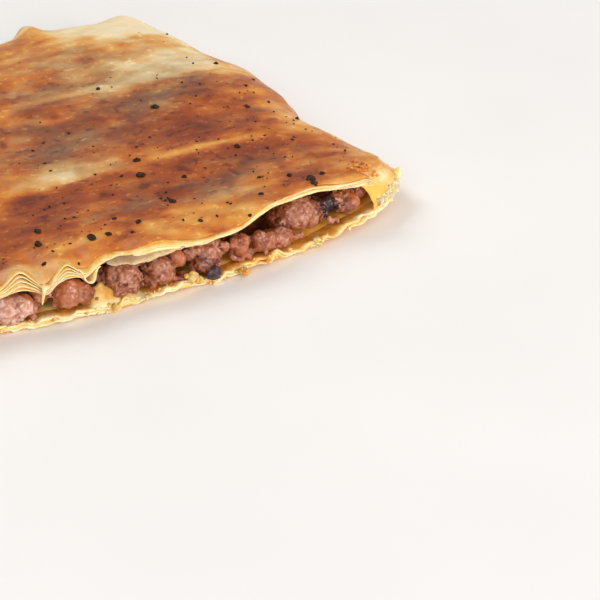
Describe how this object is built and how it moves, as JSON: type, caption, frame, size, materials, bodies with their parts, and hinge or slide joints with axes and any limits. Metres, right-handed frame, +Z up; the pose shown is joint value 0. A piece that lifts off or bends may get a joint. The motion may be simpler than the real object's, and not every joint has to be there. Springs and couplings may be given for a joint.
{
  "type": "keema paratha slice",
  "caption": "Cut slice of a pan-fried flaky flatbread, folded shut along its right and back edges and cut open along its front and left ones, with minced meat between two crusts.",
  "frame": {"origin": "on the table, under the middle of the slice's bounding box", "axes": "+X along the front cut towards its closed tip, +Y from the front cut to the back fold, +Z up through both crusts"},
  "size_m": [0.1356, 0.124, 0.0129],
  "materials": {
    "fried_dough": "flaky wheat dough fried in a little oil: pale cream where it stayed off the pan, golden to dark brown along its ridges, with a faint shine of oil and flecks of cracked black pepper",
    "minced_meat": "cooked minced meat in granular brown lumps with a pinkish grey cast, moist and slightly glossy"
  },
  "bodies": {
    "root": {"dough": "fried_dough", "keema": "minced_meat"}
  },
  "joints": []
}
